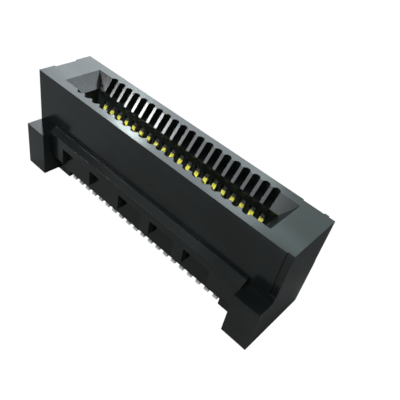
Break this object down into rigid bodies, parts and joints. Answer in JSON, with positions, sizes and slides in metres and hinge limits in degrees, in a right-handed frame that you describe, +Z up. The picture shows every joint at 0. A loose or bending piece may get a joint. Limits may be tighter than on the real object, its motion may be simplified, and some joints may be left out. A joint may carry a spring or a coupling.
{
  "type": "card edge connector",
  "caption": "Surface-mount card edge connector: a black moulded housing with a chamfered card slot, facing rows of stamped spring contacts in cavities, and two square feet on one side.",
  "frame": {"origin": "middle of the footprint on the board's surface, at the height of the feet's soles", "axes": "+X along the rows of contacts, +Y across the rows to the far row, +Z up out of the board to the card slot"},
  "size_m": [0.023, 0.0058, 0.0078],
  "materials": {
    "housing": "black moulded thermoplastic with a soft satin sheen",
    "contact": "stamped copper alloy, gold on the spring end and matte tin on the tail"
  },
  "bodies": {
    "root": {"housing": "housing", "contact_near_01": "contact", "contact_near_02": "contact", "contact_near_03": "contact", "contact_near_04": "contact", "contact_near_05": "contact", "contact_near_06": "contact", "contact_near_07": "contact", "contact_near_08": "contact", "contact_near_09": "contact", "contact_near_10": "contact", "contact_near_11": "contact", "contact_near_12": "contact", "contact_near_13": "contact", "contact_near_14": "contact", "contact_near_15": "contact", "contact_near_16": "contact", "contact_near_17": "contact", "contact_near_18": "contact", "contact_near_19": "contact", "contact_near_20": "contact", "contact_far_01": "contact", "contact_far_02": "contact", "contact_far_03": "contact", "contact_far_04": "contact", "contact_far_05": "contact", "contact_far_06": "contact", "contact_far_07": "contact", "contact_far_08": "contact", "contact_far_09": "contact", "contact_far_10": "contact", "contact_far_11": "contact", "contact_far_12": "contact", "contact_far_13": "contact", "contact_far_14": "contact", "contact_far_15": "contact", "contact_far_16": "contact", "contact_far_17": "contact", "contact_far_18": "contact", "contact_far_19": "contact", "contact_far_20": "contact"}
  },
  "joints": []
}
